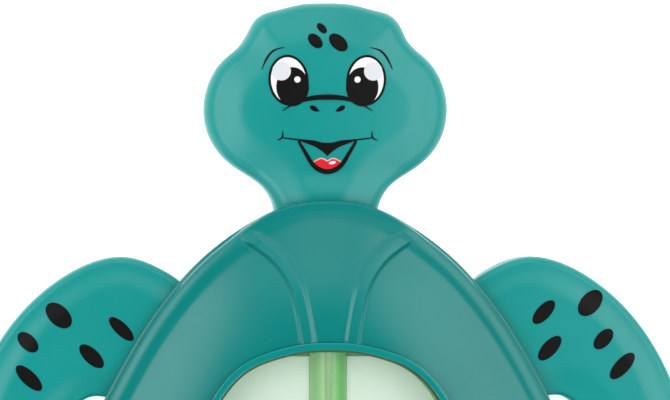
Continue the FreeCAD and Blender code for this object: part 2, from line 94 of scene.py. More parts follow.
# Flippers go round the +X paddle from its hidden root, as fractions
# (distance from the centre line / half span, distance behind the paddle's front / length).
FRONT_FLIPPER = (
    (0.379, 0.163), (0.470, 0.048), (0.576, 0.0), (0.667, 0.030), (0.747, 0.096),
    (0.846, 0.226), (0.912, 0.357), (0.959, 0.487), (0.992, 0.630), (1.0, 0.772),
    (0.986, 0.902), (0.941, 0.991), (0.879, 0.978), (0.808, 0.835), (0.730, 0.683),
    (0.656, 0.600), (0.562, 0.620), (0.449, 0.522),
)
REAR_FLIPPER = (
    (0.585, 0.20), (0.723, 0.10), (0.831, 0.14), (0.923, 0.28), (0.985, 0.48),
    (1.0, 0.70), (0.962, 0.89), (0.877, 0.985), (0.785, 0.93), (0.708, 0.78),
    (0.600, 0.64), (0.515, 0.53), (0.505, 0.36),
)
head_length = 41.4
head_half_width = 24.4
shell_front_y = nose_y - 39.4
shell_length = 136.0
shell_half_width = (shell_high[0] - shell_low[0]) / 2
window_front_y = nose_y - 69.0
window_length = 64.0
window_half_width = 28.5
# Each flipper is (fractions, y of its front, length, half span).
front_flipper = (FRONT_FLIPPER, 41.3, 46.3, body_high[0])
rear_flipper = (REAR_FLIPPER, -48.0, 37.0, 65.0)
spline_steps = 4000
far_away = 1e9


def mirrored(half, front_y, length, half_width):
    """The closed outline of a symmetric piece, from the fractions of its +X half."""
    right = [(half_width * out, front_y - length * back) for back, out in half]
    left = [(-x, y) for x, y in reversed(right[1:-1])]
    return right + left


def paddle(fractions, front_y, length, half_span, side):
    """The outline of the flipper on one side, +1 or -1."""
    points = [(side * half_span * out, front_y - length * back) for out, back in fractions]
    return points if side > 0 else points[::-1]


def spline(points, count, closed=True):
    """Evenly spaced points of the smooth cubic curve through the given ones."""
    points = np.array(points, float)
    ring = np.vstack([points, points[:1]]) if closed else points
    knots = np.concatenate([[0], np.cumsum(np.hypot(*np.diff(ring, axis=0).T))])
    gaps = np.diff(knots)
    slopes = np.diff(ring, axis=0) / gaps[:, None]
    total = len(points)
    matrix = np.zeros((total, total))
    right = np.zeros((total, 2))
    for index in range(total):
        if closed:
            before, after = gaps[index - 1], gaps[index]
            matrix[index, index - 1] += before
            matrix[index, index] += 2 * (before + after)
            matrix[index, (index + 1) % total] += after
            right[index] = 6 * (slopes[index] - slopes[index - 1])
        elif 0 < index < total - 1:
            before, after = gaps[index - 1], gaps[index]
            matrix[index, index - 1 : index + 2] = before, 2 * (before + after), after
            right[index] = 6 * (slopes[index] - slopes[index - 1])
        else:
            matrix[index, index] = 1
    bend = np.linalg.solve(matrix, right)
    if closed:
        bend = np.vstack([bend, bend[:1]])

    def curve(at):
        part = np.clip(np.searchsorted(knots, at, side="right") - 1, 0, len(gaps) - 1)
        gap = gaps[part][:, None]
        on = ((at - knots[part]) / gaps[part])[:, None]
        off = 1 - on
        return (
            off * ring[part]
            + on * ring[part + 1]
            + ((off**3 - off) * bend[part] + (on**3 - on) * bend[part + 1]) * gap**2 / 6
        )

    fine = curve(np.linspace(0, knots[-1], spline_steps))
    run = np.concatenate([[0], np.cumsum(np.hypot(*np.diff(fine, axis=0).T))])
    wanted = np.linspace(0, run[-1], count + 1)[:-1] if closed else np.linspace(0, run[-1], count)
    return np.column_stack([np.interp(wanted, run, fine[:, axis]) for axis in (0, 1)])


def outwards(outline):
    """Unit normals of a clockwise outline, pointing out of it."""
    along = np.roll(outline, -1, 0) - np.roll(outline, 1, 0)
    along /= np.hypot(*along.T)[:, None]
    return np.column_stack([-along[:, 1], along[:, 0]])


def moved_out(outline, distance):
    """The outline moved outwards by a distance, or inwards by a negative one."""
    return outline + outwards(outline) * distance


def distance_to(points, line, closed=True):
    """Each point's distance to a polyline."""
    start = line if closed else line[:-1]
    step = (np.roll(line, -1, 0) if closed else line[1:]) - start
    best = np.full(len(points), far_away)
    for a, run in zip(start, step):
        away = points - a
        along = np.clip(away @ run / max(run @ run, 1e-12), 0, 1)
        best = np.minimum(best, np.hypot(*(away - along[:, None] * run).T))
    return best


def inside(points, outline):
    """True where a point is inside the outline."""
    x, y = points.T
    count = np.zeros(len(points), bool)
    for (ax, ay), (bx, by) in zip(outline, np.roll(outline, -1, 0)):
        if ay != by:
            crosses = (ay > y) != (by > y)
            count ^= crosses & (x < (bx - ax) * (y - ay) / (by - ay) + ax)
    return count


HEAD = mirrored(HEAD_HALF, nose_y, head_length, head_half_width)
SHELL = spline(mirrored(SHELL_HALF, shell_front_y, shell_length, shell_half_width), 560)
WINDOW = spline(mirrored(WINDOW_HALF, window_front_y, window_length, window_half_width), 360)


# ---------------------------------------------------------------- meshes
same_point = 1e-5


def add_mesh(name, points, faces, material, body="float", smooth_below=40.0):
    """A mesh object from points in millimetres, smooth except at sharp edges."""
    mesh = bpy.data.meshes.new(name)
    mesh.from_pydata([tuple(point) for point in np.array(points) * MM], [], faces)
    mesh.validate()
    mesh.update()
    mesh.shade_smooth()
    mesh.set_sharp_from_angle(angle=math.radians(smooth_below))
    mesh.materials.append(material)
    piece = bpy.data.objects.new(name, mesh)
    bpy.context.scene.collection.objects.link(piece)
    if body:
        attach(piece, body)
    return piece


def grid_points(outline, spacing):
    """Points of a triangular grid over the outline's box."""
    low, high = outline.min(0), outline.max(0)
    rows = np.arange(low[1], high[1], spacing * math.sqrt(3) / 2)
    points = []
    for index, y in enumerate(rows):
        shift = spacing / 2 if index % 2 else 0.0
        xs = np.arange(low[0] + shift, high[0], spacing)
        points.append(np.column_stack([xs, np.full(len(xs), y)]))
    return np.vstack(points)


def triangulate(loops, free_points, keep):
    """Triangles over the loops and free points whose middles pass keep()."""
    points = np.vstack(list(loops) + [free_points])
    edges = []
    first = 0
    for loop in loops:
        size = len(loop)
        edges += [(first + index, first + (index + 1) % size) for index in range(size)]
        first += size
    flat = [Vector(point) for point in points]
    verts, _, faces, _, _, _ = geometry.delaunay_2d_cdt(flat, edges, [], 0, same_point, True)
    verts = np.array([tuple(v) for v in verts])
    faces = np.array([tuple(face) for face in faces if len(face) == 3])
    middles = verts[faces].mean(1)
    faces = faces[keep(middles)]
    a, b, c = (verts[faces[:, corner]] for corner in range(3))
    area = (b[:, 0] - a[:, 0]) * (c[:, 1] - a[:, 1]) - (b[:, 1] - a[:, 1]) * (c[:, 0] - a[:, 0])
    faces[area < 0] = faces[area < 0][:, ::-1]
    used = np.unique(faces)
    renumber = np.full(len(verts), -1)
    renumber[used] = np.arange(len(used))
    return verts[used], renumber[faces]


def boundary(faces):
    """Directed edges that only one triangle has."""
    edges = {}
    for face in faces.tolist():
        for a, b in zip(face, face[1:] + face[:1]):
            edges[(a, b)] = True
    return [edge for edge in edges if (edge[1], edge[0]) not in edges]


def slab(flat, faces, top, bottom, skirt=None):
    """A closed solid between two heights over the same triangles. skirt is a function that gives
    extra rows (points, z) for the boundary between the top and the bottom."""
    count = len(flat)
    points = [np.column_stack([flat, top]), np.column_stack([flat, bottom])]
    rim = boundary(faces)
    rim_points = sorted({a for a, _ in rim})
    place = {point: index for index, point in enumerate(rim_points)}
    rows = [dict(zip(rim_points, rim_points))]
    start = 2 * count
    for row_points, row_z in skirt(rim_points) if skirt else ():
        points.append(np.column_stack([row_points, row_z]))
        rows.append({point: start + place[point] for point in rim_points})
        start += len(rim_points)
    rows.append({point: count + point for point in rim_points})
    all_faces = [tuple(face) for face in faces.tolist()]
    all_faces += [(a + count, c + count, b + count) for a, b, c in faces.tolist()]
    for upper, lower in zip(rows, rows[1:]):
        all_faces += [(upper[b], upper[a], lower[a], lower[b]) for a, b in rim]
    return np.vstack(points), all_faces


def swept_ring(name, outline, profile, material):
    """A closed ring whose section follows an outline. The section's (distance outwards, z) points
    run clockwise, with outwards to the right."""
    size = len(outline)
    rows = [np.column_stack([moved_out(outline, out), np.full(size, z)]) for out, z in profile]
    faces = []
    for row in range(len(profile)):
        after = (row + 1) % len(profile)
        for index in range(size):
            beside = (index + 1) % size
            faces.append(
                (
                    row * size + index,
                    row * size + beside,
                    after * size + beside,
                    after * size + index,
                )
            )
    return add_mesh(name, np.vstack(rows), faces, material)


# ---------------------------------------------------------------- materials
def linear(red, green, blue):
    """A scene colour from a screen colour of 0 to 255."""
    def channel(value):
        value /= 255
        return value / 12.92 if value <= 0.04045 else ((value + 0.055) / 1.055) ** 2.4

    return (channel(red), channel(green), channel(blue), 1.0)


def scaled_colour(colour, factor):
    """A lighter or darker version of a colour."""
    return tuple(min(1.0, part * factor) for part in colour[:3]) + (1.0,)


plastic_ior = 1.49
gloss_spread = 0.15
drift_low = 0.2
drift_high = 0.8
grain_strength = 0.6
# Each noise is (scale, detail). Its blotches are about 1000 / scale mm across.
drift_noise = (45.0, 2.0)
gloss_noise = (140.0, 6.0)
grain_noise = (900.0, 3.0)


def noise(material, scale, detail):
    """A noise value in the object's own coordinates."""
    nodes, links = material.node_tree.nodes, material.node_tree.links
    coordinates = nodes.new("ShaderNodeTexCoord")
    texture = nodes.new("ShaderNodeTexNoise")
    texture.inputs["Scale"].default_value = scale
    texture.inputs["Detail"].default_value = detail
    links.new(coordinates.outputs["Object"], texture.inputs["Vector"])
    return texture.outputs["Fac"]


def set_shader(material, socket, value):
    """Give one socket of a material's shader a constant value."""
    material.node_tree.nodes["Principled BSDF"].inputs[socket].default_value = value


def plastic(name, colour, roughness, mottle=0.06, peel=0.00001):
    """Moulded plastic: faint colour drift, uneven gloss and a fine orange-peel surface. mottle is
    how far the colour drifts, as a share of it, and peel is the surface's depth in metres."""
    material = bpy.data.materials.new(name)
    material.use_nodes = True
    nodes, links = material.node_tree.nodes, material.node_tree.links
    shader = nodes["Principled BSDF"]
    ramp = nodes.new("ShaderNodeValToRGB")
    ramp.color_ramp.elements[0].position = drift_low
    ramp.color_ramp.elements[0].color = scaled_colour(colour, 1 - mottle)
    ramp.color_ramp.elements[1].position = drift_high
    ramp.color_ramp.elements[1].color = scaled_colour(colour, 1 + mottle)
    links.new(noise(material, *drift_noise), ramp.inputs["Fac"])
    links.new(ramp.outputs["Color"], shader.inputs["Base Color"])
    gloss = nodes.new("ShaderNodeMapRange")
    gloss.inputs["To Min"].default_value = roughness * (1 - gloss_spread)
    gloss.inputs["To Max"].default_value = roughness * (1 + gloss_spread)
    links.new(noise(material, *gloss_noise), gloss.inputs["Value"])
    links.new(gloss.outputs["Result"], shader.inputs["Roughness"])
    grain = nodes.new("ShaderNodeBump")
    grain.inputs["Strength"].default_value = grain_strength
    grain.inputs["Distance"].default_value = peel
    links.new(noise(material, *grain_noise), grain.inputs["Height"])
    links.new(grain.outputs["Normal"], shader.inputs["Normal"])
    set_shader(material, "IOR", plastic_ior)
    return material


def metal(name, colour, roughness):
    """Bare metal, with a finer grain than the plastics."""
    material = plastic(name, colour, roughness, 0.04, 0.000004)
    set_shader(material, "Metallic", 1.0)
    return material


def ramp_across(material, socket, stops):
    """Drive a shader socket by a colour ramp across the thermometer tube."""
    nodes, links = material.node_tree.nodes, material.node_tree.links
    coordinates = nodes.new("ShaderNodeTexCoord")
    split = nodes.new("ShaderNodeSeparateXYZ")
    across = nodes.new("ShaderNodeMapRange")
    across.inputs["From Min"].default_value = -tube_radius * MM
    across.inputs["From Max"].default_value = tube_radius * MM
    ramp = nodes.new("ShaderNodeValToRGB")
    while len(ramp.color_ramp.elements) < len(stops):
        ramp.color_ramp.elements.new(1.0)
    for element, (place, colour) in zip(ramp.color_ramp.elements, stops):
        element.position = place
        element.color = colour
    links.new(coordinates.outputs["Object"], split.inputs["Vector"])
    links.new(split.outputs["X"], across.inputs["Value"])
    links.new(across.outputs["Result"], ramp.inputs["Fac"])
    links.new(ramp.outputs["Color"], nodes["Principled BSDF"].inputs[socket])


def tube_green():
    """Milky green tube with painted shading: a lighter olive -X half and a darker, greener +X half
    stand in for how light falls across it, a painted highlight line runs down the middle, and a clearer
    stripe lies over the spirit.
    """
    material = plastic("milky_green_tube", linear(150, 196, 144), 0.18, 0.02, 0.0)
    # Painted shading and highlight: lighter on the -X half, darker on the +X half, with a pale
    # highlight line in the middle.
    ramp_across(
        material,
        "Base Color",
        (
            (0.0, linear(142, 212, 122)),
            (0.45, linear(150, 212, 132)),
            (0.49, linear(222, 255, 212)),
            (0.53, linear(142, 212, 126)),
            (0.8, linear(96, 204, 86)),
            (1.0, linear(88, 198, 80)),
        ),
    )
    solid = (0.92, 0.92, 0.92, 1.0)
    clear = (0.2, 0.2, 0.2, 1.0)
    stripe = ((0.38, solid), (0.43, clear), (0.57, clear), (0.62, solid))
    ramp_across(material, "Alpha", stripe)
    return material


teal_shell = plastic("teal_shell_plastic", linear(0, 134, 130), 0.25)
teal_body = plastic("teal_body_plastic", linear(14, 156, 151), 0.30)
bezel_teal = plastic("bezel_teal_plastic", linear(0, 144, 140), 0.22)
card_green = plastic("pale_green_card", linear(236, 254, 238), 0.6, 0.01)
card_white = plastic("white_card_edge", linear(240, 253, 242), 0.6, 0.01)
# The tray's olive is partly its own colour and partly painted shade for the recess beside the tube and
# inside the bezel.
olive = plastic("olive_tray_plastic", linear(52, 164, 82), 0.5)
# The gasket's dark olive is partly its own colour and partly painted shade for the dark line inside the
# bezel.
gasket_green = plastic("green_gasket_rubber", linear(40, 106, 18), 0.7)
strip_green_painted_glow = plastic("green_backing_strip", linear(186, 240, 176), 0.45, 0.03)
# The strip is given a faint glow: painted light standing in for the light that would reach it through
# the clear tube.
set_shader(strip_green_painted_glow, "Emission Color", linear(186, 236, 176))
set_shader(strip_green_painted_glow, "Emission Strength", 0.45)
spirit_green = plastic("dark_green_spirit", linear(10, 60, 24), 0.15)
black_rubber = plastic("black_rubber", linear(28, 30, 30), 0.7)
white_nylon = plastic("white_nylon", linear(226, 230, 226), 0.5, 0.03)
steel = metal("plain_steel", linear(190, 192, 196), 0.32)
black_print = plastic("black_print", linear(5, 5, 6), 0.45, 0.3)
set_shader(black_print, "Specular IOR Level", 0.2)
grey_print = plastic("pale_grey_print", linear(234, 237, 242), 0.4, 0.01)
white_print = plastic("white_print", linear(252, 253, 253), 0.4, 0.005)
pink_print = plastic("pale_pink_print", linear(246, 200, 196), 0.4, 0.01)
red_print = plastic("red_print", linear(236, 24, 38), 0.4, 0.04)
mark_print = plastic("dark_green_print", linear(18, 62, 40), 0.5, 0.1)
clear_alpha = 0.06
clear_lens = plastic("clear_lens_plastic", linear(240, 252, 242), 0.04, 0.005, 0.0)
set_shader(clear_lens, "Alpha", clear_alpha)
clear_glass = plastic("clear_tube_glass", linear(206, 240, 200), 0.05, 0.005, 0.0)
set_shader(clear_glass, "Alpha", clear_alpha)
milky_green = tube_green()

CAD_MATERIALS = {
    "window_lens": clear_lens,
    "lens_gasket": gasket_green,
    "celsius_card": card_green,
    "fahrenheit_card": card_green,
    "card_tray": olive,
    "tray_screws": steel,
    "thermometer_tube": milky_green,
    "capillary_stem": clear_glass,
    "tube_backing": strip_green_painted_glow,
    "bulb": clear_glass,
    "spirit_column": spirit_green,
    "tube_plug": black_rubber,
    "tube_clip": white_nylon,
    "body_bottom": teal_body,
    "rim_seal": black_rubber,
    "bulb_grommet": black_rubber,
    "bulb_guard": teal_body,
    "body_screws": steel,
    "screw_plugs": teal_body,
    "ballast_weight": steel,
    "ballast_screws": steel,
    "tail_eyelet": white_nylon,
}
for node, material in CAD_MATERIALS.items():
    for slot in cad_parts[node].material_slots:
        slot.material = material


# ---------------------------------------------------------------- head, flippers and tail
# A roll is the width of a limb's rounded edge. A crown is (rise, start, width) in from the edge.
head_roll = 2.6
flipper_roll = 1.5
roll_power = 2.2
head_crown = (1.1, 0.8, 7.5)
flipper_crown = (0.8, 1.5, 5.0)
seam_drop = 0.55
seam_foot = 0.3
seam_depth = 0.18
face_curve = 0.003
face_middle_y = nose_y - 20.0
brow_bump = 0.4
brow_x = 12.2
brow_behind = 5.2
brow_spread = 2.4
neck_rise = 1.6
neck_start_y = shell_front_y + 6.5
neck_length = 6.5
limb_spacing = 0.8
limb_clearance = limb_spacing * 0.4
# Ring points nearer the outline than this share of their inset are left out.
crossing_share = 0.97
edge_shares = (0.01, 0.03, 0.07, 0.13, 0.2, 0.29, 0.4, 0.52, 0.66, 0.82, 1.0)
HEAD_LINE = spline(HEAD, 300)


def bump(away, spread):
    """A smooth hill, 1 high at its middle."""
    return np.exp(-((away / spread) ** 2))


def smooth_step(share):
    """A smooth rise from 0 to 1 while the share does the same."""
    share = np.clip(share, 0, 1)
    return share * share * (3 - 2 * share)


def limb_height(points, outline, roll, crown):
    """Height of a limb's face: a rolled edge, a flat border and a low crown inside it."""
    depth = distance_to(points, outline)
    rise, start, width = crown
    edge = np.clip(depth / roll, 0, 1)
    rolled = roll * (np.sqrt(np.clip(1 - (1 - edge) ** roll_power, 0, 1)) - 1)
    return limb_top_z + rolled + rise * (smooth_step((depth - start) / width) - 1)


def head_height(points):
    """The head's face, with a low bump at each brow corner and a neck that rises to the shell."""
    height = limb_height(points, HEAD_LINE, head_roll, head_crown)
    height = height - face_curve * (points[:, 0] ** 2 + (points[:, 1] - face_middle_y) ** 2)
    height = height + neck_rise * smooth_step((neck_start_y - points[:, 1]) / neck_length)
    for side in (1, -1):
        away = np.hypot(points[:, 0] - side * brow_x, points[:, 1] - nose_y + brow_behind)
        height = height + brow_bump * bump(away, brow_spread)
    return height


def nearest_normals(points, outline):
    """The outline's outward normal beside each point."""
    normals = outwards(outline)
    nearest = [int(np.argmin(np.hypot(*(outline - point).T))) for point in points]
    return normals[nearest]


def limb(name, outline, height, roll):
    """One soft-edged limb with a flat joint face at its underside and a fine seam groove."""
    rings = []
    for share in edge_shares:
        inset = roll * share
        ring = moved_out(outline, -inset)
        rings.append(ring[distance_to(ring, outline) > inset * crossing_share])
    grid = grid_points(outline, limb_spacing)
    grid = grid[inside(grid, outline)]
    grid = grid[distance_to(grid, outline) > roll + limb_clearance]
    flat, faces = triangulate([outline], np.vstack(rings + [grid]), lambda p: inside(p, outline))

    def skirt(rim_points):
        edge = flat[rim_points]
        yield edge, np.full(len(edge), parting_z + seam_drop)
        sunk = edge - nearest_normals(edge, outline) * seam_depth
        yield sunk, np.full(len(edge), parting_z + seam_foot)

    floor = np.full(len(flat), parting_z)
    shape, all_faces = slab(flat, faces, height(flat), floor, skirt)
    return add_mesh(name, shape, all_faces, teal_body)


def flipper_line(shape, side):
    """A flipper's smooth outline."""
    return spline(paddle(*shape, side), 320)


limb_pieces = [limb("head_top", HEAD_LINE, head_height, head_roll)]
for side, word in ((1, "right"), (-1, "left")):
    for shape, place in ((front_flipper, "front"), (rear_flipper, "rear")):
        line = flipper_line(shape, side)
        limb_pieces.append(
            limb(
                place + "_flipper_" + word,
                line,
                lambda points, line=line: limb_height(points, line, flipper_roll, flipper_crown),
                flipper_roll,
            )
        )

# ---------------------------------------------------------------- shell
lip_width = 0.45
lip_slope = 0.3
corner_width = 0.55
bead_width = 3.0
crown_rise = 0.8
bead_foot_z = rim_z + 0.9
bead_crest_z = rim_z + 3.5
valley_inset = 4.2
front_share_y = 40.0
front_share_length = 10.0
front_flattening = 0.8
neck_share_y = 43.5
neck_share_length = 6.0
front_valley_shift = 1.4
valley_drop = 0.1
valley_z = bead_crest_z - valley_drop
plateau_z = bezel_high[2] - 1.0
plateau_across = 0.58
plateau_lengthwise = 0.70
plateau_focus_y = -33.4
dome_power = 1.6
shortest_slope = 0.5
lowest_share = -1.5
crease = 0.35
rib_height = 0.75
rib_fall = 0.6
rib_half_width = 1.6
rib_ramp = 1.2
rib_step = 0.3
groove_depth = 0.2
groove_half_width = 0.2
groove_spread = groove_half_width * 0.7
crease_start = 1.0
crease_blend = 2.0
rib_fade_start = 1.4
rib_fade_width = 2.4
seat_offset = bezel_width + 0.05
ledge_z = bezel_low[2]
ledge_width = 1.5
shell_wall = 1.6

plateau = np.column_stack(
    [
        SHELL[:, 0] * plateau_across,
        plateau_focus_y + (SHELL[:, 1] - plateau_focus_y) * plateau_lengthwise,
    ]
)
# Middle lines of the raised ribs on the +X side, from the window to past the rim.
RIB_FRONT = (
    (3.8, 22.0), (4.4, 26.5), (5.1, 30.5), (6.2, 35.2), (8.0, 38.9), (10.8, 42.2), (14.0, 44.6),
    (17.4, 46.6), (21.0, 48.4),
)
RIB_REAR = (
    (10.0, -39.0), (11.5, -46.0), (14.0, -53.0), (18.0, -60.0), (23.0, -66.0), (28.5, -70.5),
    (33.0, -73.5),
)
# Each rib is its line and which side of it, +1 left or -1 right, faces away from the middle.
ribs = [
    (spline([(side * x, y) for x, y in half], 70, closed=False), side * turn)
    for half, turn in ((RIB_FRONT, -1), (RIB_REAR, 1))
    for side in (1, -1)
]


def across_line(points, line):
    """Each point's distance to an open line, positive on its left."""
    best = np.full(len(points), far_away)
    for a, b in zip(line, line[1:]):
        run, away = b - a, points - a
        along = np.clip(away @ run / (run @ run), 0, 1)
        gap = np.hypot(*(away - along[:, None] * run).T)
        left = np.sign(run[0] * away[:, 1] - run[1] * away[:, 0])
        best = np.where(gap < np.abs(best), gap * left, best)
    return best


def rib_section(away):
    """A rib's height across its line: a soft ramp inside, a sharp step and groove outside."""
    ramp = smooth_step((away + rib_half_width) / rib_ramp)
    step = smooth_step((rib_half_width - away) / rib_step)
    groove = groove_depth * bump(away - rib_half_width - groove_half_width, groove_spread)
    return rib_height * ramp * step - groove


def shell_height(points):
    """Height of the shell's outer skin: lip, rounded rim, shallow crease, dome and raised ribs."""
    depth = distance_to(points, SHELL)
    to_plateau = np.where(inside(points, plateau), 0.0, distance_to(points, plateau))
    front = smooth_step((points[:, 1] - front_share_y) / front_share_length)
    lip_here = lip_width * (1 - smooth_step((points[:, 1] - neck_share_y) / neck_share_length))
    past_valley = depth - valley_inset + front_valley_shift * front
    slope_length = np.maximum(past_valley + to_plateau, shortest_slope)
    share = np.clip(past_valley / slope_length, lowest_share, 1)
    dome = valley_z + (plateau_z - valley_z) * (1 - (1 - share) ** dome_power)
    lip = lip_slope * np.minimum(depth, lip_here)
    corner = np.clip((depth - lip_here) / corner_width, 0, 1)
    crown = np.clip((depth - lip_here) / (bead_width - lip_here), 0, 1)
    rounding = crown_rise * (1 - front_flattening * front)
    corner_rise = bead_crest_z - bead_foot_z - lip_slope * lip_here - rounding
    bead = bead_foot_z + lip + corner_rise * np.sqrt(1 - (1 - corner) ** 2)
    bead += rounding * (1 - (1 - crown) ** 2)
    bead -= valley_drop * (np.maximum(depth - bead_width, 0) / (valley_inset - bead_width)) ** 2
    blur = crease * smooth_step((depth - crease_start) / crease_blend)
    blended = (bead + dome + np.sqrt((bead - dome) ** 2 + blur**2)) / 2
    skin = np.where(depth < crease_start, bead, blended)
    raised = sum(rib_section(across_line(points, line) * outer) for line, outer in ribs)
    raised *= 1 - rib_fall * smooth_step(share)
    return skin + raised * smooth_step((depth - rib_fade_start) / rib_fade_width)


inner_rows = (-2.1, -1.6, -1.4, -1.2, -1.0, -0.8, -0.6, -0.4, 0.0, 0.5, 0.9)
outer_rows = (1.15, 1.3, 1.4, 1.5, 1.6, 1.7, 1.8, 1.9, 2.05, 2.25, 2.5)


def rib_rows():
    """Points in rows along the ribs, close together where their sections turn."""
    rows = []
    for line, outer in ribs:
        along = np.gradient(line, axis=0)
        along /= np.hypot(*along.T)[:, None]
        across = np.column_stack([-along[:, 1], along[:, 0]]) * outer
        rows += [line + across * away for away in inner_rows + outer_rows]
    return np.vstack(rows)


def to_ribs(points):
    """Each point's distance to the nearest rib's line."""
    return np.min([distance_to(points, line, closed=False) for line, _ in ribs], axis=0)


# Point rings inside the shell's edge are close together at the rounded rim, then evenly spaced.
rim_insets = [0.05, 0.12, 0.22, 0.35, 0.39, 0.45, 0.53, 0.63, 0.76, 0.9]
bead_insets = [1.2 + 0.4 * step for step in range(16)]
shell_spacing = 1.0
# How far each kind of point keeps from the window's seat, the ribs' lines and the shell's edge.
seat_ring_gap = 0.35
seat_rib_gap = 0.3
seat_grid_gap = 0.8
rib_ring_gap = 2.6
rib_grid_gap = 2.8
edge_rib_gap = 1.1
edge_grid_gap = bead_insets[-1] + 0.5
# Rings this near the edge run on across the ribs.
unbroken_depth = 1.0
# The underside is flat this far in from the edge and this far out from the seat.
rim_land = 2.0
seat_land = 0.3


def shell_skin():
    """The whole shell as one closed moulding with its bezel seat and window hole."""
    seat = moved_out(WINDOW, seat_offset)
    rings = np.vstack([moved_out(SHELL, -inset) for inset in rim_insets + bead_insets])
    ring_depth = distance_to(rings, SHELL)
    rings = rings[(to_ribs(rings) > rib_ring_gap) | (ring_depth < unbroken_depth)]
    beside = rib_rows()
    rib_limit = moved_out(WINDOW, seat_offset + seat_rib_gap)
    beside = beside[inside(beside, SHELL) & ~inside(beside, rib_limit)]
    beside = beside[distance_to(beside, SHELL) > edge_rib_gap]
    grid = grid_points(SHELL, shell_spacing)
    grid_limit = moved_out(WINDOW, seat_offset + seat_grid_gap)
    grid = grid[inside(grid, SHELL) & ~inside(grid, grid_limit)]
    grid = grid[distance_to(grid, SHELL) > edge_grid_gap]
    grid = grid[to_ribs(grid) > rib_grid_gap]
    free = np.vstack([rings, moved_out(seat, seat_ring_gap), beside, grid])

    def keep(middles):
        return inside(middles, SHELL) & ~inside(middles, seat)

    flat, faces = triangulate([SHELL, seat], free, keep)
    top = shell_height(flat)
    bottom = np.maximum(top - shell_wall, rim_z)
    bottom[distance_to(flat, SHELL) < rim_land] = rim_z
    bottom[distance_to(flat, seat) < seat_land] = ledge_z
    shape, all_faces = slab(flat, faces, top, bottom)
    return add_mesh("shell_top", shape, all_faces, teal_shell)


shell_piece = shell_skin()
ledge_profile = (
    (seat_offset + ledge_width, ledge_z),
    (seat_offset + ledge_width, tray_top_z),
    (0.0, tray_top_z),
    (0.0, ledge_z),
)
swept_ring("window_ledge", WINDOW, ledge_profile, teal_shell)
bezel_bevel = 0.2
bevel_nick = bezel_bevel * 0.3
bezel_lip = 0.9
bezel_skirt = 0.6
bezel_profile = (
    (bezel_width, ledge_z),
    (bezel_width, bezel_high[2] - bezel_bevel),
    (bezel_width - bevel_nick, bezel_high[2] - bevel_nick),
    (bezel_width - bezel_bevel, bezel_high[2]),
    (bezel_bevel, bezel_high[2]),
    (bevel_nick, bezel_high[2] - bevel_nick),
    (0.0, bezel_high[2] - bezel_bevel),
    (0.0, bezel_high[2] - bezel_lip),
    (bezel_width - bezel_skirt, bezel_high[2] - bezel_lip),
    (bezel_width - bezel_skirt, ledge_z),
)
bezel_piece = swept_ring("bezel_ring", WINDOW, bezel_profile[::-1], bezel_teal)
# A dark gasket bead just inside the window's edge: painted shade for the line along the inside of the
# bezel.
gasket_bead = 0.12
bead_middle = -0.36
bead_turn = np.linspace(0, -2 * math.pi, 8, endpoint=False)
bead_profile = [
    (bead_middle + gasket_bead * math.cos(angle), gasket_top_z - gasket_bead * (1 - math.sin(angle)))
    for angle in bead_turn
]
swept_ring("gasket_bead", WINDOW, bead_profile, gasket_green)


# ---------------------------------------------------------------- card edges
card_edge_radius = 0.28
card_edge_margin = 0.6
card_edge_sink = 0.02


def card_edge(name, side):
    """The folded, half-round edge of a scale card beside the tube."""
    turn = np.linspace(0, math.pi, 9)
    x = side * abs(card_high[0]) + card_edge_radius * np.cos(turn)
    z = card_high[2] - card_edge_sink + card_edge_radius * np.sin(turn)
    low_y, high_y = card_low[1] + card_edge_margin, card_high[1]
    ends = [np.column_stack([x, np.full(len(x), y), z]) for y in (low_y, high_y)]
    count = len(turn)
    faces = [tuple(range(count)), tuple(reversed(range(count, 2 * count)))]
    for index in range(count):
        beside = (index + 1) % count
        faces.append((index, index + count, beside + count, beside))
    return add_mesh(name, np.vstack(ends), faces, card_white)


card_edge("celsius_card_edge", -1)
card_edge("fahrenheit_card_edge", 1)

# ---------------------------------------------------------------- deck and tail
deck_inset = 0.4
deck_width = 4.0
tail_top_z = limb_top_z - 2.0
tail_end_radius = 5.4
tail_root = 9.0
tail_roll = 1.6
tail_edge_shares = (0.06, 0.2, 0.4, 0.65, 1.0)
tail_overlap = 6.0
hole_clearance = 0.4
eyelet_y = (eyelet_low[1] + eyelet_high[1]) / 2
eyelet_hole_radius = 3.0


def tail_top():
    """The tail's upper half: a taper with a round, soft-edged end and the eyelet's hole."""
    root_y = shell_front_y - shell_length + tail_overlap
    turn = np.linspace(0, math.pi, 33)
    end = np.column_stack([tail_end_radius * np.cos(turn), eyelet_y - tail_end_radius * np.sin(turn)])
    flank = np.linspace((tail_root, root_y), (tail_end_radius, eyelet_y), 16)
    outline = np.vstack([flank[:-1], end, (flank * (-1, 1))[:0:-1]])
    circle = np.linspace(0, 2 * math.pi, 48, endpoint=False)
    hole = np.column_stack([np.cos(circle), np.sin(circle)]) * eyelet_hole_radius + (0, eyelet_y)

    def keep(points):
        return inside(points, outline) & ~inside(points, hole)

    rings = np.vstack([moved_out(outline, -tail_roll * share) for share in tail_edge_shares])
    grid = grid_points(outline, limb_spacing)
    grid = grid[distance_to(grid, outline) > tail_roll + hole_clearance]
    free = np.vstack([rings, grid])
    free = free[keep(free) & (distance_to(free, hole) > hole_clearance)]
    flat, faces = triangulate([outline, hole], free, keep)
    edge = np.clip(distance_to(flat, outline) / tail_roll, 0, 1)
    top = tail_top_z - tail_roll * (1 - np.sqrt(np.clip(1 - (1 - edge) ** 2, 0, 1)))
    shape, all_faces = slab(flat, faces, top, np.full(len(flat), parting_z))
    return add_mesh("tail_top", shape, all_faces, teal_body)


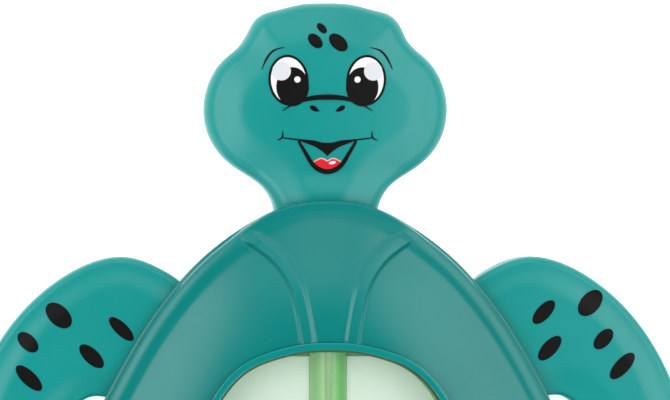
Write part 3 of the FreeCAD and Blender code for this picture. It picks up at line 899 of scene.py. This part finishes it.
deck_top_z = rim_z - 0.05
deck_profile = (
    (-deck_inset, parting_z + seam_drop),
    (-deck_inset, deck_top_z),
    (-deck_inset - deck_width, deck_top_z),
    (-deck_inset - deck_width, parting_z),
    (-deck_inset - seam_depth, parting_z),
    (-deck_inset - seam_depth, parting_z + seam_foot),
)
limb_pieces.append(swept_ring("deck_edge", SHELL, deck_profile[::-1], teal_body))
limb_pieces.append(tail_top())
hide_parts("carapace")
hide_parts("window_bezel")
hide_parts("body_top")


# ---------------------------------------------------------------- printed spots and face
print_foot = -0.06
first_layer = 0.05
layer = 0.03
print_spacing = 0.45
print_clearance = 0.2


def ellipse(x, y, long, short, tilt):
    """An ellipse's outline. tilt is the angle of its long axis in degrees, anticlockwise."""
    turn = np.linspace(0, -2 * math.pi, 44, endpoint=False)
    a, b = np.cos(turn) * long / 2, np.sin(turn) * short / 2
    cos, sin = math.cos(math.radians(tilt)), math.sin(math.radians(tilt))
    return np.column_stack([x + a * cos - b * sin, y + a * sin + b * cos])


def stroke(points, widths, count=40):
    """The outline of a brush stroke through the points, with a width at each of them."""
    line = spline(points, count, closed=False)
    run = np.linspace(0, 1, count)
    points = np.array(points, float)
    steps = np.concatenate([[0], np.cumsum(np.hypot(*np.diff(points, axis=0).T))])
    half = np.interp(run, steps / steps[-1], widths) / 2
    along = np.gradient(line, axis=0)
    along /= np.hypot(*along.T)[:, None]
    across = np.column_stack([-along[:, 1], along[:, 0]]) * half[:, None]
    return np.vstack([line + across, (line - across)[::-1]])


def printed(name, outlines, height, material, level=0):
    """Thin printed shapes that follow a surface. level counts the layers under them."""
    points, faces = [], []
    start = 0
    for outline in outlines:
        grid = grid_points(outline, print_spacing)
        grid = grid[inside(grid, outline)]
        grid = grid[distance_to(grid, outline) > print_clearance]
        flat, flat_faces = triangulate([outline], grid, lambda p: inside(p, outline))
        surface = height(flat)
        top = surface + first_layer + layer * level
        shape, shape_faces = slab(flat, flat_faces, top, surface + print_foot)
        points.append(shape)
        faces += [tuple(corner + start for corner in face) for face in shape_faces]
        start += len(shape)
    return add_mesh(name, np.vstack(points), faces, material, smooth_below=30.0)


# Spots on the front flippers: (x, y, long, short). They lean away from the shell.
LEFT_SPOTS = (
    (-53.4, 29.7, 6.2, 3.9),
    (-41.0, 27.0, 6.4, 2.5),
    (-59.5, 24.4, 5.0, 3.0),
    (-46.9, 21.6, 6.2, 2.9),
    (-59.3, 17.3, 6.8, 2.8),
)
RIGHT_SPOTS = (
    (52.7, 32.0, 6.2, 3.9),
    (43.3, 30.2, 6.0, 2.8),
    (55.3, 24.8, 5.0, 2.9),
    (44.5, 23.0, 6.2, 2.9),
    (59.1, 19.4, 6.8, 2.9),
)
for word, spots, side, tilt in (("left", LEFT_SPOTS, -1, -44), ("right", RIGHT_SPOTS, 1, 47)):
    line = flipper_line(front_flipper, side)
    printed(
        "flipper_spots_" + word,
        [ellipse(*spot, tilt) for spot in spots],
        lambda points, line=line: limb_height(points, line, flipper_roll, flipper_crown),
        black_print,
    )


def on_head(places):
    """Points given as (x, distance behind the nose)."""
    return [(x, nose_y - behind) for x, behind in places]


def both_sides(places):
    """A line on the +X side carried on across the centre line to the other side."""
    return [(-x, behind) for x, behind in places if x > 0][::-1] + list(places)


def face_print(name, outlines, material, level=0):
    """Printed shapes on the head."""
    return printed(name, outlines, head_height, material, level)


# Forehead spots: (x, distance behind the nose, long, short, tilt).
FOREHEAD_SPOTS = (
    (-1.05, 5.15, 2.5, 1.5, -48),
    (-2.4, 7.7, 3.5, 2.3, -46),
    (2.2, 8.0, 4.4, 2.8, -42),
)
face_print(
    "forehead_spots",
    [ellipse(x, nose_y - behind, long, short, tilt) for x, behind, long, short, tilt in FOREHEAD_SPOTS],
    black_print,
)
# Face lines: (x, distance behind the nose) on the +X side, and a width at each point.
BROW = ((13.05, 13.4), (12.0, 11.1), (10.7, 9.65), (8.5, 9.0))
BROW_WIDTHS = (0.15, 0.45, 0.4, 0.12)
# Eye sizes are (long, short).
eye_outline_size = (10.2, 8.0)
eye_white_size = (9.2, 7.0)
pupil_size = (7.8, 6.5)
eye_lean = 6
eye_x = 7.75
eye_behind = 15.55
pupil_x = 6.95
pupil_behind = 16.85
glint_x = 9.15
glint_behind = 13.75
glint_width = 3.7
dot_x = 6.0
dot_behind = 15.4
dot_width = 1.25
for side, word in ((-1, "left"), (1, "right")):
    y = nose_y - eye_behind
    brow = [(side * x, behind) for x, behind in BROW]
    face_print("brow_" + word, [stroke(on_head(brow), BROW_WIDTHS)], black_print)
    tilt = 90 - side * eye_lean
    edge = ellipse(side * eye_x, y, *eye_outline_size, tilt)
    face_print("eye_outline_" + word, [edge], black_print)
    white = ellipse(side * eye_x, y, *eye_white_size, tilt)
    face_print("eye_white_" + word, [white], white_print, 1)
    pupil = ellipse(side * pupil_x, nose_y - pupil_behind, *pupil_size, 90)
    face_print("pupil_" + word, [pupil], black_print, 2)
    glint = ellipse(side * glint_x, nose_y - glint_behind, glint_width, glint_width, 0)
    face_print("eye_glint_" + word, [glint], grey_print, 3)
    dot = ellipse(side * dot_x, nose_y - dot_behind, dot_width, dot_width, 0)
    face_print("eye_dot_" + word, [dot], white_print, 4)
SNOUT = ((0.0, 18.9), (4.1, 19.3), (6.9, 20.35), (8.95, 21.6))
SNOUT_WIDTHS = (0.12, 0.42, 0.85, 1.1, 0.85, 0.42, 0.12)
NOSTRIL = ((3.45, 20.75), (2.9, 21.05), (2.2, 21.45), (1.6, 21.7))
NOSTRIL_WIDTHS = (0.5, 1.05, 0.8, 0.12)
face_print("snout_line", [stroke(on_head(both_sides(SNOUT)), SNOUT_WIDTHS)], black_print, 5)
nostrils = [[(side * x, behind) for x, behind in NOSTRIL] for side in (1, -1)]
face_print("nostrils", [stroke(on_head(line), NOSTRIL_WIDTHS) for line in nostrils], black_print)
CORNER = ((10.1, 27.45), (9.4, 27.25), (8.98, 26.8), (8.9, 26.2), (9.0, 25.65))
CORNER_WIDTHS = (0.12, 0.3, 0.34, 0.3, 0.12)
LIP = ((0.0, 28.55), (1.6, 28.05), (4.3, 27.55), (9.0, 27.0))
LIP_WIDTHS = (0.25, 0.4, 0.5, 0.6, 0.5, 0.4, 0.25)
BEAK = ((5.4, 27.7), (4.4, 28.05), (2.4, 28.8), (1.0, 29.7), (0.0, 30.65))
JAW = ((0.0, 33.75), (1.5, 33.4), (3.0, 32.2), (4.2, 30.3), (5.2, 28.6), (5.75, 27.6))
JAW_WIDTHS = (0.5, 0.62, 0.75, 0.9, 1.0, 1.0, 1.0, 0.9, 0.75, 0.62, 0.5)
mouth = [stroke(on_head(both_sides(LIP)), LIP_WIDTHS)]
corners = [[(side * x, behind) for x, behind in CORNER] for side in (1, -1)]
mouth += [stroke(on_head(line), CORNER_WIDTHS) for line in corners]
face_print("lip_line", mouth, black_print)
BEAK_TOP = ((-3.2, 27.8), (0.0, 28.0), (3.2, 27.8))
beak = BEAK + tuple((-x, behind) for x, behind in BEAK[-2::-1]) + BEAK_TOP
face_print("beak_tip", [np.array(on_head(beak))], black_print, 1)
face_print("jaw_line", [stroke(on_head(both_sides(JAW)), JAW_WIDTHS)], black_print, 2)
TONGUE = (
    (0.0, 31.65), (0.6, 31.3), (1.4, 31.2), (2.2, 31.6), (3.1, 32.0), (2.4, 32.9), (1.3, 33.3),
    (0.0, 33.45),
)
tongue = spline(on_head(TONGUE + tuple((-x, behind) for x, behind in TONGUE[-2:0:-1])), 60)
face_print("tongue", [tongue], red_print)
TONGUE_EDGE = ((0.0, 31.6), (0.6, 31.25), (1.4, 31.12), (2.2, 31.5), (3.0, 31.85))
TONGUE_WIDTHS = (0.12, 0.2, 0.24, 0.24, 0.24, 0.24, 0.24, 0.2, 0.12)
face_print("tongue_edge", [stroke(on_head(both_sides(TONGUE_EDGE)), TONGUE_WIDTHS)], pink_print, 1)
face_print("tongue_glint", [ellipse(1.0, nose_y - 31.95, 1.4, 0.6, 12)], white_print, 1)

# ---------------------------------------------------------------- scale marks
zero_celsius_y = -36.0
mark_start = tube_radius + 0.8
mark_rise = 0.03
mark_thickness = 0.22
major_tick = 4.2
middle_tick = 3.0
minor_tick = 2.0
label_x = mark_start + 7.6
label_size = 3.2
unit_gap = 4.4
card_top_z = card_high[2]


def tick(side, y, length):
    """The corners of one tick beside the tube."""
    near, beyond = side * mark_start, side * (mark_start + length)
    low, high = y - mark_thickness / 2, y + mark_thickness / 2
    corners = [(near, high), (beyond, high), (beyond, low), (near, low)]
    return np.array(corners if side > 0 else corners[::-1])


def tick_length(value, major, middle):
    """A tick is longest at numbered values and shortest between the middle ones."""
    if value % major == 0:
        return major_tick
    return middle_tick if value % middle == 0 else minor_tick


def numeral(text, x, y, size):
    """A flat printed number as a closed mesh's points in millimetres and its faces."""
    curve = bpy.data.curves.new("numeral", "FONT")
    curve.body = text
    curve.size = size
    curve.align_x = "CENTER"
    curve.align_y = "CENTER"
    curve.extrude = mark_rise
    holder = bpy.data.objects.new("numeral", curve)
    mesh = bpy.data.meshes.new_from_object(holder)
    points = np.array([tuple(v.co) for v in mesh.vertices]) + (x, y, card_top_z)
    faces = [tuple(face.vertices) for face in mesh.polygons]
    bpy.data.objects.remove(holder)
    bpy.data.curves.remove(curve)
    bpy.data.meshes.remove(mesh)
    return points, faces


def scale_marks(name, side, values, major, middle, place, unit):
    """Ticks and numbers of one temperature scale. place gives a value's y."""
    points, faces = [], []
    start = 0
    for value in values:
        outline = tick(side, place(value), tick_length(value, major, middle))
        count = len(outline)
        points.append(np.column_stack([outline, np.full(count, card_top_z + mark_rise)]))
        points.append(np.column_stack([outline, np.full(count, card_top_z - mark_rise)]))
        faces.append(tuple(start + index for index in reversed(range(count))))
        faces.append(tuple(start + count + index for index in range(count)))
        for index in range(count):
            beside = (index + 1) % count
            faces.append((start + index, start + beside, start + count + beside, start + count + index))
        start += 2 * count
    labels = [(str(value), place(value)) for value in values if value % major == 0]
    labels.append((unit, labels[-1][1] + unit_gap))
    for text, y in labels:
        shape, shape_faces = numeral(text, side * label_x, y, label_size)
        points.append(shape)
        faces += [tuple(corner + start for corner in face) for face in shape_faces]
        start += len(shape)
    return add_mesh(name, np.vstack(points), faces, mark_print, smooth_below=20.0)


def celsius_y(value):
    """Where a temperature lies along the tube, 1 mm to a degree Celsius."""
    return zero_celsius_y + value


def fahrenheit_y(value):
    """The same for degrees Fahrenheit."""
    return zero_celsius_y + (value - 32) / 1.8


scale_marks("celsius_marks", -1, range(0, 42), 10, 5, celsius_y, "\u00b0C")
scale_marks("fahrenheit_marks", 1, range(32, 106, 2), 10, 10, fahrenheit_y, "\u00b0F")

# ---------------------------------------------------------------- stage, light and camera
focus_x = 1.5
focus_y = 52.6
focus = Vector((focus_x, focus_y, limb_top_z)) * MM
camera_distance = 0.9
view_width = 0.1334
lean = math.radians(4.0)
camera = bpy.data.objects.new("camera", bpy.data.cameras.new("camera"))
camera.data.lens = camera.data.sensor_width * camera_distance / view_width
camera.rotation_euler = (0.0, -lean, 0.0)
camera.location = focus + Vector((-math.sin(lean), 0.0, math.cos(lean))) * camera_distance
camera.data.clip_end = 10.0
bpy.context.scene.collection.objects.link(camera)
bpy.context.scene.camera = camera


floor_half = 1500.0
floor_drop = 0.1
floor_glow = 0.8


def floor():
    """A wide pale floor under the turtle."""
    turns = ((-1, -1), (1, -1), (1, 1), (-1, 1))
    corners = [(x * floor_half, y * floor_half, -floor_drop) for x, y in turns]
    material = plastic("pale_floor", (0.9, 0.9, 0.9, 1.0), 0.9, 0.01, 0.0)
    set_shader(material, "Emission Color", (1, 1, 1, 1))
    set_shader(material, "Emission Strength", floor_glow)
    piece = add_mesh("floor", corners, [(0, 1, 2, 3)], material, body=None)


def soft_box(name, place, size, power):
    """A rectangular area light aimed at the turtle."""
    light = bpy.data.lights.new(name, "AREA")
    light.shape = "RECTANGLE"
    light.size, light.size_y = size
    light.energy = power
    lamp = bpy.data.objects.new(name, light)
    lamp.location = place
    lamp.rotation_euler = (focus - Vector(place)).to_track_quat("-Z", "Y").to_euler()
    bpy.context.scene.collection.objects.link(lamp)


floor()
soft_box("left_softbox", (-0.62, 0.05, 0.9), (1.2, 0.5), 4.9)
soft_box("right_softbox", (0.57, 0.05, 0.9), (1.2, 0.6), 4.6)
soft_box("front_softbox", (0.0, 0.75, 0.85), (0.4, 0.8), 1.1)
world = bpy.data.worlds.new("studio")
world.use_nodes = True
tent_low = 0.3
tent_high = 0.96
tent_top = 0.03
tent_side = 0.85


def tent():
    """A white tent that is brighter at its sides than straight above."""
    nodes, links = world.node_tree.nodes, world.node_tree.links
    direction = nodes.new("ShaderNodeTexCoord")
    split = nodes.new("ShaderNodeSeparateXYZ")
    fade = nodes.new("ShaderNodeMapRange")
    fade.inputs["From Min"].default_value = tent_low
    fade.inputs["From Max"].default_value = tent_high
    fade.inputs["To Min"].default_value = tent_side
    fade.inputs["To Max"].default_value = tent_top
    links.new(direction.outputs["Generated"], split.inputs["Vector"])
    links.new(split.outputs["Z"], fade.inputs["Value"])
    links.new(fade.outputs["Result"], nodes["Background"].inputs["Strength"])
    nodes["Background"].inputs["Color"].default_value = (1, 1, 1, 1)


tent()
bpy.context.scene.world = world
bpy.context.scene.view_settings.view_transform = "Standard"
